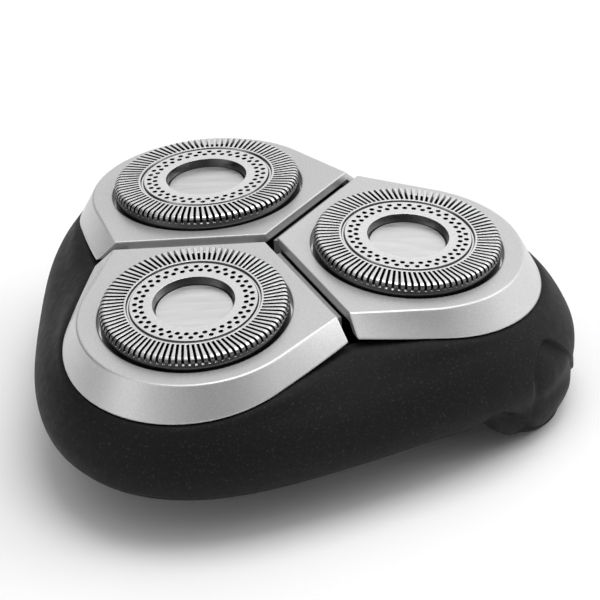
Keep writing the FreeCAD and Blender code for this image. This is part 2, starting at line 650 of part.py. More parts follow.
# ---------------------------------------------------------------- parts drawn in a lobe's frame
def guard():
    """Slotted steel cap over the cutter, with a recessed centre, two rings of holes and a bottom flange."""
    t = GUARD_T
    g0, g1 = RING_GROOVE_R - RING_GROOVE_W / 2, RING_GROOVE_R + RING_GROOVE_W / 2
    g = RING_GROOVE_DEPTH
    e = GUARD_EDGE_R
    bend = [math.radians(a) for a in (90, 67.5, 45, 22.5, 0)]
    edge = [(GUARD_R - e + e * math.cos(a), -e + e * math.sin(a)) for a in bend]
    floor_r = RECESS_R - RECESS_FLARE
    outside = [
        (0, -RECESS_DEPTH),
        (floor_r, -RECESS_DEPTH),
        (RECESS_R, 0),
        (g0, 0),
        (g0 + 0.15, -g),
        (g1 - 0.15, -g),
        (g1, 0),
    ]
    outside += edge
    outside += [(GUARD_R, FLANGE_TOP_H), (FLANGE_R, FLANGE_TOP_H), (FLANGE_R, FLANGE_H)]
    inside = [
        (GUARD_R - t, FLANGE_H),
        (GUARD_R - t, -e),
        (GUARD_R - e, -t),
        (g1 + 0.1, -t),
        (g1 - 0.05, -g - t),
        (g0 + 0.05, -g - t),
        (g0 - 0.1, -t),
        (RECESS_R + t, -t),
        (floor_r + t, -RECESS_DEPTH - t),
        (GUARD_PIN_R, -RECESS_DEPTH - t),
        (GUARD_PIN_R, -RECESS_DEPTH - t - GUARD_PIN_LENGTH),
        (0, -RECESS_DEPTH - t - GUARD_PIN_LENGTH),
    ]
    cap = revolved(outside + inside)
    slot_r = g1 + SLOT_START
    outer_r = RING_GROOVE_R - HOLE_MARGIN
    cuts = []
    for k in range(SLOTS):
        slit = box(0, GUARD_R, -SLOT_W / 2, SLOT_W / 2, -SLOT_DROP, 1)
        slit.rotate(ORIGIN, UP, SLOT_SLANT)
        slit.translate(Vector(slot_r, 0, 0))
        slit.rotate(ORIGIN, UP, 360.0 * k / SLOTS)
        cuts.append(slit)
    for k in range(HOLES):
        for ring in (0, 1):
            r = outer_r - ring * HOLE_PITCH_GAP
            a = 2 * math.pi * (k + ring / 2) / HOLES
            cuts.append(cylinder(HOLE_R, -1.0, 1.0, r * math.cos(a), r * math.sin(a)))
    return cap.cut(Part.makeCompound(cuts))


def guard_disc():
    """Thin disc let into the guard's recess."""
    return cylinder(RECESS_R - RECESS_FLARE - DISC_GAP, -RECESS_DEPTH, -RECESS_DEPTH + DISC_T)


def plate_outline(depth, inset=0.0):
    """The plate's outline this far below its top. The inset leaves the sides along the grooves."""
    half = math.pi / LOBES
    corner_u = -LOBE_R + GROOVE_W / 2 / math.sin(half)
    height = PLATE_H - depth
    radius = GUARD_R + PLATE_RIM + BEVEL_SLOPE * depth - inset
    a = math.radians(BEVEL_TANGENT - BEVEL_TWIST * depth)
    tangent = (radius * math.cos(a), radius * math.sin(a))
    # where the straight part meets the groove's side, which leaves the inner corner at 60 degrees
    along = (math.cos(half), math.sin(half))
    away = (-math.sin(a), math.cos(a))
    dx, dy = tangent[0] - corner_u, tangent[1]
    length = (dx * away[1] - dy * away[0]) / (along[0] * away[1] - along[1] * away[0])
    corner = (corner_u + along[0] * length, along[1] * length)

    def at(point, side=1):
        return Vector(point[0], side * point[1], height)

    nose = Vector(radius, 0, height)
    inner = Vector(corner_u, 0, height)
    edges = [
        Part.LineSegment(inner, at(corner, -1)),
        Part.LineSegment(at(corner, -1), at(tangent, -1)),
        Part.Arc(at(tangent, -1), nose, at(tangent)),
        Part.LineSegment(at(tangent), at(corner)),
        Part.LineSegment(at(corner), inner),
    ]
    return Part.Wire([edge.toShape() for edge in edges])


def bezel_plate():
    """Silver plate round one guard: a flat top, a bevelled skirt outside and open sides at the grooves."""
    depth = SKIRT_H + SKIRT_FALL * (GUARD_R + 2 * PLATE_RIM) - PLATE_STAND
    top = plate_outline(0.0)
    bottom = plate_outline(depth)
    form = Part.makeLoft([top, bottom], True, True)
    crest = [
        e
        for e in form.Edges
        if all(abs(v.Z - PLATE_H) < 1e-6 for v in e.Vertexes)
        and e.CenterOfMass.x > -GUARD_R / 2
    ]
    form = form.makeFillet(CREST_FILLET, crest)
    skirt_inset = SKIRT_T * math.sqrt(1 + BEVEL_SLOPE**2)
    hollow = Part.makeLoft(
        [plate_outline(PLATE_T, skirt_inset), plate_outline(PLATE_T + depth, skirt_inset)],
        True,
        True,
    )
    below_skirt = box(-FAR, FAR, -FAR, FAR, -FAR, 0)
    below_skirt.rotate(ORIGIN, Vector(0, 1, 0), math.degrees(math.atan(SKIRT_FALL)))
    below_skirt.translate(Vector(0, 0, -SKIRT_H))
    hole = cylinder(PLATE_HOLE_R, -FAR / 4, 1)
    plate = form.cut([hollow, below_skirt, hole, groove_side_room()])
    crest_x = min(v.X for e in crest for v in e.Vertexes)
    sharp = [
        e
        for e in plate.Edges
        if all(abs(v.Z - PLATE_H) < 1e-6 for v in e.Vertexes)
        and (isinstance(e.Curve, Part.Circle) or e.BoundBox.XMin < crest_x - PLATE_WEB)
    ]
    return plate.makeFillet(PLATE_EDGE_R, sharp)


def groove_side_room():
    """Clears the skirt from the plate's two groove sides, below the plate's thickness."""
    half = math.pi / LOBES
    corner_u = -LOBE_R + GROOVE_W / 2 / math.sin(half)
    long = LOBE_R * 2
    wedge = [
        (corner_u - 1, 0),
        (corner_u + long * math.cos(half), -long * math.sin(half)),
        (corner_u + long * math.cos(half) + SKIRT_T * 1.5, -long * math.sin(half)),
        (corner_u + SKIRT_T * 1.5, 0),
        (corner_u + long * math.cos(half) + SKIRT_T * 1.5, long * math.sin(half)),
        (corner_u + long * math.cos(half), long * math.sin(half)),
    ]
    limit = box(-FAR, -GUARD_R / 3, -FAR, FAR, -FAR, FAR)
    inside = cylinder(GUARD_R + PLATE_RIM - 0.2, -FAR / 4, FAR / 4)
    return prism(wedge, -FAR / 4, PLATE_UNDER_H).common(limit).common(inside)


def retaining_ring():
    """Ring behind the guard: it holds the guard's flange and carries the lobe on two trunnions."""
    ring = revolved(
        [
            (RING_BORE_R, RING_BOTTOM_H),
            (RING_R, RING_BOTTOM_H),
            (RING_R, PLATE_UNDER_H),
            (FLANGE_R + RING_GAP, PLATE_UNDER_H),
            (FLANGE_R + RING_GAP, RING_TOP_H),
            (RING_BORE_R, RING_TOP_H),
        ]
    )
    reach = RING_R + TRUNNION_LENGTH - 0.4
    pin = Part.makeCylinder(TRUNNION_R, 2 * reach, Vector(0, -reach, -PIVOT_H), Vector(0, 1, 0))
    pin = pin.cut(cylinder(RING_R - 0.4, -FAR / 4, FAR / 4))
    return ring.fuse(pin)


def cutter_blade():
    """Steel cutter: a ring with two tracks of raked blades that run under the slots and the holes."""
    top = -GUARD_T - BLADE_GAP
    bottom = top - BLADE_H
    outer = (RING_GROOVE_R + BLADE_SPLIT, GUARD_R - GUARD_EDGE_R - BLADE_INSET)
    inner = (RECESS_R + GUARD_T + BLADE_INSET, RING_GROOVE_R - BLADE_SPLIT)
    ring = revolved(
        [
            (inner[0], bottom),
            (outer[1], bottom),
            (outer[1], bottom + BLADE_RING_T),
            (inner[0], bottom + BLADE_RING_T),
        ]
    )
    lean = math.tan(math.radians(BLADE_RAKE)) * BLADE_H
    blades = []
    for k in range(BLADES):
        for low_r, high_r in (outer, inner):
            half = BLADE_T / 2
            foot = [(low_r, -half), (high_r, -half), (high_r, half), (low_r, half)]
            lower = Part.makePolygon([Vector(x, y - lean / 2, bottom + 0.1) for x, y in foot + foot[:1]])
            upper = Part.makePolygon([Vector(x, y + lean / 2, top) for x, y in foot + foot[:1]])
            blade = Part.makeLoft([lower, upper], True, True)
            blade.rotate(ORIGIN, UP, 360.0 * k / BLADES)
            blades.append(blade)
    inside = cylinder(outer[1], bottom, top)
    return ring.fuse(blades).common(inside)


def cutter_hub():
    """Moulded hub: it carries the cutter, turns on the guard's pin and has the square drive socket."""
    top = -RECESS_DEPTH - GUARD_T - HUB_GAP
    bottom = -PIVOT_H - HUB_BELOW
    blade_bottom = -GUARD_T - BLADE_GAP - BLADE_H
    hub = cylinder(HUB_R, bottom, top)
    flange = cylinder(HUB_FLANGE_R, blade_bottom - HUB_FLANGE_T, blade_bottom)
    collar_r = RECESS_R + GUARD_T + BLADE_INSET - RUNNING_GAP
    collar = cylinder(collar_r, blade_bottom - HUB_FLANGE_T, blade_bottom + 2 * BLADE_RING_T)
    bore = cylinder(GUARD_PIN_R + RUNNING_GAP, top - GUARD_PIN_LENGTH, 1)
    half = SOCKET_W / 2
    socket = box(-half, half, -half, half, bottom - 1, -PIVOT_H + SOCKET_ABOVE)
    return hub.fuse([flange, collar]).cut([bore, socket])


def tilt_spring():
    """Spring between the cover and the retaining ring's inner side, upright in the housing's frame."""
    u = -TILT_SPRING_U
    seat = GUARD_Z - u * math.sin(TILT) + RING_BOTTOM_H * math.cos(TILT)
    top = seat - (TILT_SPRING_R + TILT_SPRING_WIRE_R) * math.sin(TILT) - 0.03
    return coil(TILT_SPRING_R, TILT_SPRING_WIRE_R, TILT_SPRING_TURNS, COVER_TOP_Z + 0.02, top)


# ---------------------------------------------------------------- export
def export(shape, name):
    solids = shape.Solids
    whole = solids[0] if len(solids) == 1 else Part.makeCompound(solids)
    if not whole.isValid():
        print("not valid:", name)
    whole.exportStep(f"parts/{name}.step")
    print(name, "solids", len(solids), "volume", round(whole.Volume, 2))


def main():
    os.makedirs("parts", exist_ok=True)
    single = {
        "housing": housing,
        "gearbox_base": gearbox_base,
        "gearbox_cover": gearbox_cover,
        "divider": divider,
        "base_screws": base_screws,
        "drive_gear": drive_gear,
        "drive_bush": drive_bush,
    }
    local = {
        "guard": guard,
        "guard_disc": guard_disc,
        "bezel_plate": bezel_plate,
        "retaining_ring": retaining_ring,
        "cutter_blade": cutter_blade,
        "cutter_hub": cutter_hub,
    }
    upright = {
        "spindle_gear": spindle_gear,
        "spindle": spindle,
    }
    springs = {
        "spindle_spring": (spindle_spring, PIVOT_R),
        "tilt_spring": (tilt_spring, TILT_SPRING_REACH),
    }
    for name, make in single.items():
        export(make(), name)
    for name, make in local.items():
        shape = make()
        for lobe in range(1, LOBES + 1):
            export(in_lobe(shape, lobe), f"{name}_{lobe}")
    for name, make in upright.items():
        shape = make()
        for lobe in range(1, LOBES + 1):
            export(turned(shape, lobe), f"{name}_{lobe}")
    for name, (make, reach) in springs.items():
        shape = make()
        for lobe in range(1, LOBES + 1):
            export(stood(shape, lobe, reach), f"{name}_{lobe}")
    print("guard plane z", round(GUARD_Z, 3), "lobe radius", round(LOBE_R, 3), "module", round(MODULE, 4))


main()
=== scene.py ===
"""Looks of the rotary shaver head: camera, lights, floor, materials, and the housing's finer mesh."""

import json
import math

import bmesh
import bpy
from mathutils import Matrix, Vector


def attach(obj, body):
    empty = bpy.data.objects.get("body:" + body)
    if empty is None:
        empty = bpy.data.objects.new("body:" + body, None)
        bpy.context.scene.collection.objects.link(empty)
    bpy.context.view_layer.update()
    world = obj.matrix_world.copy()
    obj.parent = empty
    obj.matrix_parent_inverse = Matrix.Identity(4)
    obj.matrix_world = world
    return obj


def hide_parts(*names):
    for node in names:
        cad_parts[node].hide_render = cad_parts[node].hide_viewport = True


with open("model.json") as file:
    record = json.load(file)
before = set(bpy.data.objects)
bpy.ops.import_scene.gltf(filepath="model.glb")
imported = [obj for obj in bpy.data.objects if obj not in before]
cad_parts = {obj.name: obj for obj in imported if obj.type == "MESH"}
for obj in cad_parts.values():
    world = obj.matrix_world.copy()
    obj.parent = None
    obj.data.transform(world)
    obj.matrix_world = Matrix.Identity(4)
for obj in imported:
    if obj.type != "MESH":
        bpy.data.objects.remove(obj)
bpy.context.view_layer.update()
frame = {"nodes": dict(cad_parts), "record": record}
nodes = frame["nodes"]
MM = 0.001

# ---------------------------------------------------------------- sizes, as in the CAD source (mm, degrees)
LOBE_TILT = math.radians(5.5)
GUARD_R = 12.0
LOBE_R = 15.35 / math.sin(math.pi / 3)
RIM_Z = 6.5
BODY_DEPTH = 17.8299
GUARD_Z = RIM_Z + BODY_DEPTH
SKIRT_H, SKIRT_GAP, SKIRT_FALL = 4.55, 0.25, 0.085
CORNER_SLOPE, CORNER_START = 0.09, 3.0  # the gap under the skirt opens towards the lobes' corners
CORNER_FALL = SKIRT_FALL - CORNER_SLOPE
CORNER_DROP = SKIRT_H + SKIRT_GAP + CORNER_SLOPE * CORNER_START
WALL = 1.7
CHIN_SPREAD = 36.0
PAD_ANGLE, PAD_DIP = 27.0, 1.0
PAD_APEX, PAD_HALF_W, PAD_RISE = 13.7, 4.9, 5.5
# the line along which the body steps in where the chin starts: along +X, and up
SCOOP_LINE = [
    (26.0, 5.0), (26.4, 6.2), (27.2, 7.8), (28.3, 8.5), (29.3, 8.5),
    (30.4, 8.0), (31.7, 6.6), (33.3, 4.4), (34.9, 0.6),
]
SCOOP_STEP = 1.2
CHIN_THICK, CHIN_CLEAR = 5.0, 0.1
CHIN_START = 2.0  # inside the edge of lobe 1's guard
CHIN_END = 5.0  # outside the housing's lowest outline
# share of the depth below the guards' top, and how far the outline stands out there: at a lobe's tip,
# its shoulder, the flank, the side, and the chin's extra
LEVELS = [
    (0.140, 1.3, 0.7, -0.5, -0.9, 0.0),
    (0.190, 2.2, 1.7, 0.9, 0.8, 0.0),
    (0.256, 3.3, 3.1, 2.7, 2.4, 0.0),
    (0.335, 4.3, 4.3, 4.4, 4.2, 0.0),
    (0.430, 5.2, 5.4, 5.8, 6.0, 0.1),
    (0.556, 6.6, 6.9, 7.6, 8.0, 0.3),
    (0.694, 7.7, 7.9, 8.7, 9.2, 0.5),
    (0.806, 8.1, 8.2, 8.9, 9.6, 0.8),
    (0.917, 7.6, 7.6, 8.2, 9.0, 1.4),
    (1.000, 6.4, 6.3, 6.8, 7.6, 2.4),
    (1.120, 5.9, 5.8, 6.3, 7.1, 2.9),
    (1.250, 5.4, 5.3, 5.8, 6.6, 2.6),
    (1.380, 4.4, 4.3, 4.8, 5.6, 1.6),
]


# ---------------------------------------------------------------- camera
CAMERA_TURN, CAMERA_RISE, CAMERA_ROLL = 3.8, 31.28, -2.7  # degrees
CAMERA_FAR = 0.700
AIM_SIDE, AIM_DOWN = 0.003929, 0.008050  # where the camera aims, from the top of the drive axis
SENSOR = 36.0
SCALE = 7.839  # pixels per millimetre at the aim, in a picture 600 pixels wide


def camera():
    az, el, roll = (math.radians(value) for value in (CAMERA_TURN, CAMERA_RISE, CAMERA_ROLL))
    far = CAMERA_FAR
    back = Vector((math.sin(az) * math.cos(el), -math.cos(az) * math.cos(el), math.sin(el)))
    right = Vector((math.cos(az), math.sin(az), 0))
    up = back.cross(right)
    side = right * math.cos(roll) + up * math.sin(roll)
    top = up * math.cos(roll) - right * math.sin(roll)
    top_point = Vector((0, 0, GUARD_Z * MM))
    place = top_point + back * far
    aim = top_point + side * AIM_SIDE - top * AIM_DOWN
    look = (aim - place).normalized()
    x = look.cross(top).normalized()
    y = x.cross(look)
    data = bpy.data.cameras.new("camera")
    data.sensor_width = SENSOR
    data.lens = SCALE * 700 / 600 * SENSOR
    data.clip_start = 0.05
    data.clip_end = 20.0
    cam = bpy.data.objects.new("camera", data)
    bpy.context.scene.collection.objects.link(cam)
    cam.matrix_world = Matrix.Translation(place) @ Matrix((x, y, -look)).transposed().to_4x4()
    bpy.context.scene.camera = cam


# ---------------------------------------------------------------- materials
class Nodes:
    """A short way to write a node tree."""

    def __init__(self, name):
        self.mat = bpy.data.materials.new(name)
        self.mat.use_nodes = True
        self.tree = self.mat.node_tree
        self.bsdf = self.tree.nodes["Principled BSDF"]
        self.coord = self.add("ShaderNodeTexCoord").outputs["Object"]

    def add(self, kind, **facts):
        node = self.tree.nodes.new(kind)
        for key, value in facts.items():
            setattr(node, key, value)
        return node

    def link(self, a, b):
        self.tree.links.new(a, b)

    def set(self, **values):
        for key, value in values.items():
            self.bsdf.inputs[key.replace("_", " ")].default_value = value

    def noise(self, scale, detail=2.0, rough=0.5, stretch=None):
        node = self.add("ShaderNodeTexNoise")
        node.inputs["Scale"].default_value = scale
        node.inputs["Detail"].default_value = detail
        node.inputs["Roughness"].default_value = rough
        if stretch:
            mapping = self.add("ShaderNodeMapping")
            mapping.inputs["Scale"].default_value = stretch
            self.link(self.coord, mapping.inputs["Vector"])
            self.link(mapping.outputs["Vector"], node.inputs["Vector"])
        else:
            self.link(self.coord, node.inputs["Vector"])
        return node.outputs["Fac"]

    def ramp(self, fac, *stops):
        node = self.add("ShaderNodeValToRGB")
        ramp = node.color_ramp
        while len(ramp.elements) < len(stops):
            ramp.elements.new(0.5)
        for element, (place, colour) in zip(ramp.elements, stops):
            element.position = place
            value = colour if isinstance(colour, tuple) else (colour, colour, colour)
            element.color = (*value, 1.0)
        self.link(fac, node.inputs["Fac"])
        return node.outputs["Color"]

    def bump(self, height, strength, distance_mm, round_mm=0.0):
        node = self.add("ShaderNodeBump")
        if round_mm:
            soft = self.add("ShaderNodeBevel", samples=6)
            soft.inputs["Radius"].default_value = round_mm * MM
            self.link(soft.outputs["Normal"], node.inputs["Normal"])
        node.inputs["Strength"].default_value = strength
        node.inputs["Distance"].default_value = distance_mm * MM
        self.link(height, node.inputs["Height"])
        self.link(node.outputs["Normal"], self.bsdf.inputs["Normal"])


def plastic(name, dark, light, rough=0.5, grain=2600.0, bump=0.15, specular=0.4):
    n = Nodes(name)
    cloud = n.noise(grain, 3.0, 0.6)
    n.link(n.ramp(cloud, (0.35, dark), (0.7, light)), n.bsdf.inputs["Base Color"])
    patches = n.noise(grain * 0.4)
    n.link(n.ramp(patches, (0.3, rough - 0.05), (0.7, rough + 0.06)), n.bsdf.inputs["Roughness"])
    n.bump(cloud, bump, 0.03)
    n.set(Specular_IOR_Level=specular)
    return n.mat


def metal(name, dark, light, rough=(0.2, 0.3), grain=1500.0, stretch=None):
    n = Nodes(name)
    grainy = n.noise(grain, 3.0, 0.6, stretch)
    n.link(n.ramp(grainy, (0.3, dark), (0.7, light)), n.bsdf.inputs["Base Color"])
    scratches = n.noise(grain * 1.7, 2.0, 0.5, stretch)
    n.link(n.ramp(scratches, (0.3, rough[0]), (0.7, rough[1])), n.bsdf.inputs["Roughness"])
    n.bump(grainy, 0.05, 0.01)
    n.set(Metallic=1.0)
    return n.mat


def guard_material():
    """Bright stamped steel, with painted shade on upright faces: the slots' and holes' walls, the recess
    and the rim are coloured dark.
    """
    n = Nodes("guard_steel")
    facing = n.add("ShaderNodeSeparateXYZ")
    n.link(n.add("ShaderNodeNewGeometry").outputs["True Normal"], facing.inputs[0])
    grainy = n.noise(2500.0, 3.0, 0.6)
    mix = n.add("ShaderNodeMix", data_type="RGBA", blend_type="MULTIPLY")
    mix.inputs["Factor"].default_value = 1.0
    # painted shade: the base colour darkens as a face turns upright, standing in for shade in the slots,
    # holes, recess and side band
    painted_shade_by_slope = n.ramp(facing.outputs["Z"], (0.0, 0.10), (0.40, 0.16), (0.70, 0.55), (0.92, 0.90))
    n.link(painted_shade_by_slope, mix.inputs["A"])
    n.link(n.ramp(grainy, (0.3, 0.90), (0.7, 1.0)), mix.inputs["B"])
    n.link(mix.outputs["Result"], n.bsdf.inputs["Base Color"])
    n.link(n.ramp(n.noise(4200.0), (0.3, 0.14), (0.7, 0.24)), n.bsdf.inputs["Roughness"])
    n.bump(grainy, 0.05, 0.01, 0.10)
    n.set(Metallic=1.0)
    return n.mat


def housing_material():
    """Black soft-touch plastic with a fine light speckle."""
    n = Nodes("housing_black")
    speck = n.noise(3300.0, 2.0, 0.5)
    base = n.ramp(speck, (0.0, 0.0060), (0.58, 0.0075), (0.68, 0.018), (0.80, 0.036))
    n.link(base, n.bsdf.inputs["Base Color"])
    n.link(n.ramp(n.noise(900.0, 3.0), (0.3, 0.52), (0.7, 0.62)), n.bsdf.inputs["Roughness"])
    n.bump(n.noise(5200.0, 2.0), 0.35, 0.03)
    n.set(Specular_IOR_Level=0.14)
    return n.mat


def plate_material():
    """Satin silver with very fine flakes."""
    n = Nodes("plate_silver")
    flake = n.noise(6000.0, 2.0, 0.6)
    soft = n.noise(160.0, 2.0, 0.5)
    mix = n.add("ShaderNodeMix", data_type="RGBA", blend_type="MULTIPLY")
    mix.inputs["Factor"].default_value = 1.0
    n.link(n.ramp(flake, (0.3, 0.56), (0.7, 0.68)), mix.inputs["A"])
    n.link(n.ramp(soft, (0.2, 0.97), (0.8, 1.0)), mix.inputs["B"])
    n.link(mix.outputs["Result"], n.bsdf.inputs["Base Color"])
    n.link(n.ramp(n.noise(2500.0), (0.3, 0.33), (0.7, 0.40)), n.bsdf.inputs["Roughness"])
    n.bump(flake, 0.08, 0.01, 0.25)
    n.set(Metallic=0.75)
    return n.mat


MATERIALS = {
    "housing_black": housing_material,
    "plate_silver": plate_material,
    "gearbox_black": lambda: plastic("gearbox_black", 0.028, 0.040),
    "gearbox_grey": lambda: plastic("gearbox_grey", 0.028, 0.038),
    # divider_grey: the light grey is painted light, lighter than the dark frame so the grooves between the
    # plates read as lit
    "divider_grey": lambda: plastic("divider_grey", 0.30, 0.36),
    "ring_black": lambda: plastic("ring_black", 0.015, 0.022),
    "gear_white": lambda: plastic("gear_white", 0.66, 0.74, 0.42, 1400.0, 0.05, 0.5),
    "spindle_white": lambda: plastic("spindle_white", 0.62, 0.70, 0.38, 1400.0, 0.05, 0.5),
    # hub_grey: the near-black colour is painted shade for the dark hollow under the guards, not the hubs'
    # own tone
    "hub_grey": lambda: plastic("hub_grey", 0.015, 0.022),
    "screw_steel": lambda: metal("screw_steel", 0.42, 0.56, (0.25, 0.4)),
    "bush_brass": lambda: metal("bush_brass", (0.50, 0.33, 0.12), (0.62, 0.43, 0.17), (0.25, 0.4)),
    "spring_steel": lambda: metal("spring_steel", 0.45, 0.58, (0.2, 0.3)),
    "guard_steel": guard_material,
    "disc_steel": lambda: metal("disc_steel", 0.70, 0.82, (0.28, 0.40), 900.0, (0.12, 1.0, 1.0)),
    # blade_steel: the near-black base colour is painted shade, keeping the guards' slots dark over the
    # cutters
    "blade_steel": lambda: metal("blade_steel", 0.10, 0.16, (0.35, 0.45)),
}


def paint(made):
    slots = {s["node"]: s["material_slot"] for s in frame["record"]["subparts"]}
    for name, obj in nodes.items():
        material = made[slots[name]]
        if obj.material_slots:
            for place in obj.material_slots:
                place.material = material
        else:
            obj.data.materials.append(material)


# ---------------------------------------------------------------- housing
def harmonics(tip, shoulder, flank, side):
    mean = (tip + side + 2 * shoulder + 2 * flank) / 6
    first = (tip - side + shoulder - flank) / 3
    second = (tip + side - shoulder - flank) / 3
    third = (tip - side - 2 * shoulder + 2 * flank) / 6
    return mean, first, second, third


LEVEL_TERMS = [(row[0], (*harmonics(*row[1:5]), row[5])) for row in LEVELS]


def terms_at(share):
    """The five outline terms at a share of the depth, on a smooth curve through the levels."""
    rows = LEVEL_TERMS
    i = max(k for k in range(len(rows) - 1) if rows[k][0] <= max(share, rows[0][0]))
    x0, x1 = rows[i][0], rows[i + 1][0]
    t = (share - x0) / (x1 - x0)

    def slope(k, j):
        if k == 0:
            return (rows[1][1][j] - rows[0][1][j]) / (rows[1][0] - rows[0][0])
        if k == len(rows) - 1:
            return (rows[-1][1][j] - rows[-2][1][j]) / (rows[-1][0] - rows[-2][0])
        h0, h1 = rows[k][0] - rows[k - 1][0], rows[k + 1][0] - rows[k][0]
        s0 = (rows[k][1][j] - rows[k - 1][1][j]) / h0
        s1 = (rows[k + 1][1][j] - rows[k][1][j]) / h1
        return (s0 * h1 + s1 * h0) / (h0 + h1)

    out = []
    for j in range(5):
        a, b = rows[i][1][j], rows[i + 1][1][j]
        m0, m1 = slope(i, j) * (x1 - x0), slope(i + 1, j) * (x1 - x0)
        if t < 0:
            out.append(a + m0 * t)
        elif t > 1:
            out.append(b + m1 * (t - 1))
        else:
            h = t * t * (3 - 2 * t)
            out.append(a * (1 - h) + b * h + m0 * t * (1 - t) ** 2 - m1 * t * t * (1 - t))
    return out


def housing_radius(angle, z, inset=0.0):
    depth = GUARD_Z - z
    mean, first, second, third, chin = terms_at(depth / BODY_DEPTH)
    away = abs(math.degrees(math.atan2(math.sin(angle), math.cos(angle))))
    base_tip, base_side = LOBE_R + GUARD_R, LOBE_R / 2 + GUARD_R
    base = base_side + (base_tip - base_side) * (1 + math.cos(3 * angle)) / 2
    stand = mean + first * math.cos(3 * angle) + second * math.cos(6 * angle) + third * math.cos(9 * angle)
    return base + stand + chin * math.exp(-((away / CHIN_SPREAD) ** 4)) - inset


def smooth(t):
    t = max(0.0, min(1.0, t))
    return t * t * (3 - 2 * t)


def off_line(line, x, y):
    """Distance from an open line, signed: positive below it for a line that runs along +x."""
    best, sign = 1e9, 1.0
    for (ax, ay), (bx, by) in zip(line, line[1:]):
        dx, dy = bx - ax, by - ay
        t = max(0.0, min(1.0, ((x - ax) * dx + (y - ay) * dy) / (dx * dx + dy * dy)))
        d = math.hypot(x - ax - dx * t, y - ay - dy * t)
        if d < best:
            best, sign = d, -1.0 if dx * (y - ay) - dy * (x - ax) > 0 else 1.0
    return best * sign


def pad_dip(angle, z, r):
    """How far the outer surface lies inside the form: the finger pads' edges and the step over the chin."""
    x, y = r * math.cos(angle), r * math.sin(angle)
    if x < 22.0 or z > 17.0:
        return 0.0
    dip = 0.0
    a = math.radians(PAD_ANGLE)
    across = math.sin(a) * (x - LOBE_R) - math.cos(a) * abs(y)
    if across > -PAD_HALF_W:
        if across < 0:
            top = PAD_APEX - PAD_RISE * (1 - math.sqrt(1 - (across / PAD_HALF_W) ** 2))
        else:
            top = PAD_APEX - math.hypot(1.2 * across, 1.5) + 1.5
        below = top - z
        crown = 1.0 - smooth((across - 0.5) / 4.5)
        edge = smooth((below + 0.15) / 0.40) * smooth((across + PAD_HALF_W) / 1.6)
        back = 1.0 - smooth((below - 0.3) / (4.6 + 2.0 * crown))
        dip = PAD_DIP * (0.30 + 0.70 * crown) * edge * back * smooth((z - 1.0) / 3.0)
    under = off_line(SCOOP_LINE, x, z)
    if under > -0.2:
        low = 1.0 - 0.65 * smooth((under - 0.9) / 3.0)
        dip += SCOOP_STEP * low * smooth((under + 0.1) / 0.8) * smooth((35.2 - x) / 1.6)
    return dip


def roof(x, y):
    """Height of the housing's scalloped top edge over a point of the plan."""
    low = 1e9
    for k in range(3):
        a = 2 * math.pi * k / 3
        for drop, fall in ((SKIRT_H + SKIRT_GAP, SKIRT_FALL), (CORNER_DROP, CORNER_FALL)):
            # the skirt's lower edge lies on the plane h = -drop - fall * u, in the lobe's own frame
            c, s = math.cos(LOBE_TILT), math.sin(LOBE_TILT)
            along = x * math.cos(a) + y * math.sin(a) - LOBE_R
            dz = (-drop - fall * along * c - along * s) / (c - fall * s)
            low = min(low, GUARD_Z + dz)
    return low


def floor_line(x):
    """Height of the housing's lower edge: the rim, then the arc down to the chin's foot."""
    start = LOBE_R + GUARD_R - CHIN_START
    end = LOBE_R + GUARD_R + LEVELS[0][1] + CHIN_END
    if x <= start:
        return RIM_Z
    if x >= end:
        return CHIN_CLEAR
    middle, low = (start + end) / 2 - 0.3, CHIN_CLEAR
    p0, p1, p2 = (start, RIM_Z), (middle, low + 0.34 * (RIM_Z - low)), (end, low)
    # circle through the three points
    ax, ay, bx, by, cx, cy = *p0, *p1, *p2
    d = 2 * (ax * (by - cy) + bx * (cy - ay) + cx * (ay - by))
    ux = ((ax**2 + ay**2) * (by - cy) + (bx**2 + by**2) * (cy - ay) + (cx**2 + cy**2) * (ay - by)) / d
    uy = ((ax**2 + ay**2) * (cx - bx) + (bx**2 + by**2) * (ax - cx) + (cx**2 + cy**2) * (bx - ax)) / d
    rr = math.hypot(ax - ux, ay - uy)
    side = 1 if by > uy else -1
    return uy + side * math.sqrt(max(0.0, rr * rr - (x - ux) ** 2))


def top_edge(angle):
    """Height at which the outer surface meets the roof."""
    lo, hi = RIM_Z, GUARD_Z
    for _ in range(40):
        mid = (lo + hi) / 2
        r = housing_radius(angle, mid)
        if mid < roof(r * math.cos(angle), r * math.sin(angle)):
            lo = mid
        else:
            hi = mid
    return (lo + hi) / 2


def bezier(a, b, c, steps):
    out = []
    for k in range(steps + 1):
        t = k / steps
        out.append(tuple(p * (1 - t) ** 2 + 2 * q * t * (1 - t) + s * t * t for p, q, s in zip(a, b, c)))
    return out


COLUMNS, ROWS = 960, 84  # points round the housing, and up its side
TOP_ROUND, FOOT_ROUND = 0.7, 0.3  # rounding of the housing's upper and lower edges


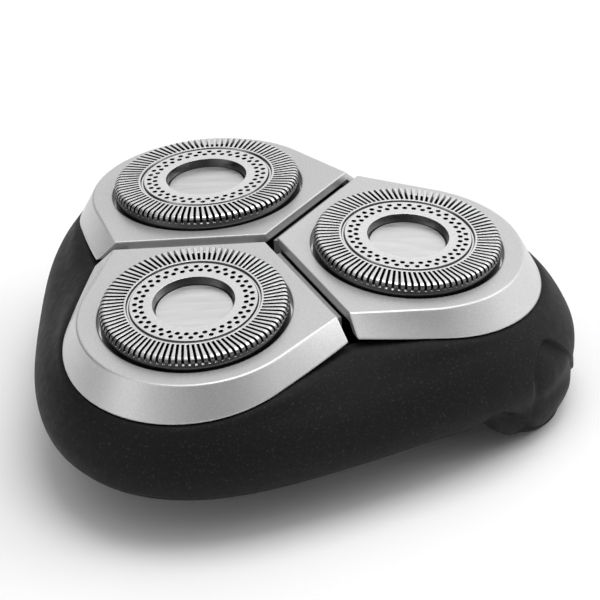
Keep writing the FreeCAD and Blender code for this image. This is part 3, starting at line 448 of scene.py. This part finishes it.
def housing_mesh():
    """The housing's shell, made of one closed section for each direction round the drive axis."""
    rim = LEVELS[9]
    inner_r = GUARD_R + rim[1] + rim[5] - CHIN_THICK
    sections = []
    for k in range(COLUMNS):
        angle = 2 * math.pi * k / COLUMNS
        ca, sa = math.cos(angle), math.sin(angle)
        top = top_edge(angle)
        bottom = RIM_Z
        for _ in range(30):
            bottom = floor_line(housing_radius(angle, bottom) * ca)
        r_top = housing_radius(angle, top)

        def face(r):
            return (r, roof(r * ca, r * sa))

        def under(r):
            return (r, min(RIM_Z, floor_line(r * ca)))

        # the inner side, the top face and its rounded edge
        inner_top = r_top - WALL
        zi = roof(inner_top * ca, inner_top * sa)
        section = [(housing_radius(angle, z, WALL), z) for z in (8.3, 10.0, 12.0, 14.0)]
        section += [(inner_top, zi - 0.6), (inner_top, zi), face(r_top - (WALL + TOP_ROUND) / 2)]
        down = top - TOP_ROUND
        section += bezier(face(r_top - TOP_ROUND), (r_top, top), (housing_radius(angle, down), down), 5)
        # the outer side
        foot = bottom + FOOT_ROUND
        for j in range(1, ROWS):
            z = down + (foot - down) * j / ROWS
            r = housing_radius(angle, z)
            section.append((r - pad_dip(angle, z, r), z))
        r_foot = housing_radius(angle, foot)
        r_foot -= pad_dip(angle, foot, r_foot)
        r_low = housing_radius(angle, bottom)
        r_low -= pad_dip(angle, bottom, r_low)
        # the lower edge, the underside and, over the chin, the step back up to the rim
        r_in = housing_radius(angle, RIM_Z, WALL)
        swing = inner_r**2 - (LOBE_R * sa) ** 2
        r_chin = LOBE_R * ca + math.sqrt(swing) if ca > 0 and swing > 0 else 0.0
        r_chin = max(r_in, r_chin) if r_chin * ca > LOBE_R + GUARD_R - 4 else r_in
        section += bezier((r_foot, foot), (r_low, bottom), under(r_low - FOOT_ROUND), 4)
        for j in range(1, 7):
            section.append(under(r_low - FOOT_ROUND + (r_chin - r_low + FOOT_ROUND) * j / 6))
        z_chin = under(r_chin)[1]
        section += [(r_chin, z_chin + (RIM_Z - z_chin) * t) for t in (0.5, 1.0)]
        section += [(r_in, RIM_Z), (r_in, RIM_Z + 0.9)]
        sections.append([Vector((r * ca, r * sa, z)) * MM for r, z in section])
    mesh = bpy.data.meshes.new("housing_shell")
    count = len(sections[0])
    points = [p for s in sections for p in s]
    faces = []
    for k in range(COLUMNS):
        a, b = k * count, ((k + 1) % COLUMNS) * count
        for j in range(count):
            jn = (j + 1) % count
            faces.append((a + j, a + jn, b + jn, b + j))
    mesh.from_pydata(points, [], faces)
    work = bmesh.new()
    work.from_mesh(mesh)
    bmesh.ops.remove_doubles(work, verts=work.verts, dist=2e-6)
    bmesh.ops.dissolve_degenerate(work, edges=work.edges, dist=1e-6)
    bmesh.ops.recalc_face_normals(work, faces=work.faces)
    work.to_mesh(mesh)
    work.free()
    mesh.shade_smooth()
    mesh.set_sharp_from_angle(angle=math.radians(50))
    return mesh


def add(name, mesh, material, body, *stands_for):
    obj = bpy.data.objects.new(name, mesh)
    bpy.context.scene.collection.objects.link(obj)
    mesh.materials.clear()
    mesh.materials.append(material)
    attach(obj, body)
    if stands_for:
        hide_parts(*stands_for)
    return obj


# ---------------------------------------------------------------- floor and lights
FRONT = -86.2  # the direction of the studio's front, in degrees round the drive axis

# brightness of the studio walls, by degrees round from the front
WALLS = [
    (-180, 0.85), (-150, 0.45), (-118, 0.08), (-95, 0.22), (-66, 1.00), (-35, 0.50),
    (0, 0.17), (30, 0.26), (62, 0.62), (100, 1.20), (140, 1.15), (180, 0.85),
]


def surroundings(tree):
    """Studio walls whose brightness changes round the object, and a pale ceiling."""
    back = tree.nodes["Background"]

    def node(kind, **facts):
        made_node = tree.nodes.new(kind)
        for key, value in facts.items():
            setattr(made_node, key, value)
        return made_node

    coord = node("ShaderNodeTexCoord")
    a = math.radians(FRONT)
    dots = []
    for axis in ((math.cos(a), math.sin(a), 0), (-math.sin(a), math.cos(a), 0), (0, 0, 1)):
        dot = node("ShaderNodeVectorMath", operation="DOT_PRODUCT")
        tree.links.new(coord.outputs["Generated"], dot.inputs[0])
        dot.inputs[1].default_value = axis
        dots.append(dot.outputs["Value"])
    turn = node("ShaderNodeMath", operation="ARCTAN2")
    tree.links.new(dots[1], turn.inputs[0])
    tree.links.new(dots[0], turn.inputs[1])
    share = node("ShaderNodeMapRange")
    share.inputs["From Min"].default_value = -math.pi
    share.inputs["From Max"].default_value = math.pi
    tree.links.new(turn.outputs[0], share.inputs["Value"])
    walls = node("ShaderNodeValToRGB")
    walls.color_ramp.interpolation = "EASE"
    elements = walls.color_ramp.elements
    while len(elements) < len(WALLS):
        elements.new(0.5)
    for element, (degrees, value) in zip(elements, WALLS):
        element.position = (degrees + 180) / 360
        element.color = (value, value, value, 1)
    tree.links.new(share.outputs["Result"], walls.inputs["Fac"])
    rise = node("ShaderNodeMapRange", interpolation_type="SMOOTHSTEP")
    rise.inputs["From Min"].default_value = 0.60
    rise.inputs["From Max"].default_value = 0.95
    tree.links.new(dots[2], rise.inputs["Value"])
    mix = node("ShaderNodeMix", data_type="RGBA")
    tree.links.new(rise.outputs["Result"], mix.inputs["Factor"])
    tree.links.new(walls.outputs["Color"], mix.inputs["A"])
    mix.inputs["B"].default_value = (0.90, 0.90, 0.90, 1)
    tree.links.new(mix.outputs["Result"], back.inputs["Color"])
    back.inputs["Strength"].default_value = 1.0


def studio():
    floor = bpy.data.meshes.new("floor")
    size = 3.0
    corners = [(-size, -size, 0), (size, -size, 0), (size, size, 0), (-size, size, 0)]
    floor.from_pydata(corners, [], [(0, 1, 2, 3)])
    obj = bpy.data.objects.new("floor", floor)
    bpy.context.scene.collection.objects.link(obj)
    n = Nodes("floor_pale")
    n.link(n.ramp(n.noise(30.0), (0.3, 0.92), (0.7, 0.94)), n.bsdf.inputs["Base Color"])
    n.set(Roughness=0.9, Specular_IOR_Level=0.1)
    floor.materials.append(n.mat)

    world = bpy.data.worlds.new("studio")
    bpy.context.scene.world = world
    world.use_nodes = True
    surroundings(world.node_tree)

    def light(name, turn, rise, far, size, power):
        a, e = math.radians(FRONT + turn), math.radians(rise)
        place = Vector((math.cos(a) * math.cos(e), math.sin(a) * math.cos(e), math.sin(e))) * far
        data = bpy.data.lights.new(name, "AREA")
        data.shape = "RECTANGLE"
        data.size, data.size_y = size
        data.energy = power
        lamp = bpy.data.objects.new(name, data)
        bpy.context.scene.collection.objects.link(lamp)
        lamp.rotation_euler = (Vector((0, 0, 0.015)) - place).to_track_quat("-Z", "Y").to_euler()
        lamp.location = place

    light("left_box", -62, 20, 0.9, (0.45, 0.25), 0.2)
    light("right_box", 98, 35, 0.9, (0.5, 0.35), 1.0)
    light("top_box", 110, 80, 0.9, (0.6, 0.6), 3.2)
    bpy.context.scene.view_settings.view_transform = "Standard"


# ---------------------------------------------------------------- build
camera()
studio()
made = {name: make() for name, make in MATERIALS.items()}
paint(made)
add("housing_shell", housing_mesh(), made["housing_black"], "body", "housing")
for name, obj in nodes.items():
    if name != "housing":
        obj.data.shade_smooth()
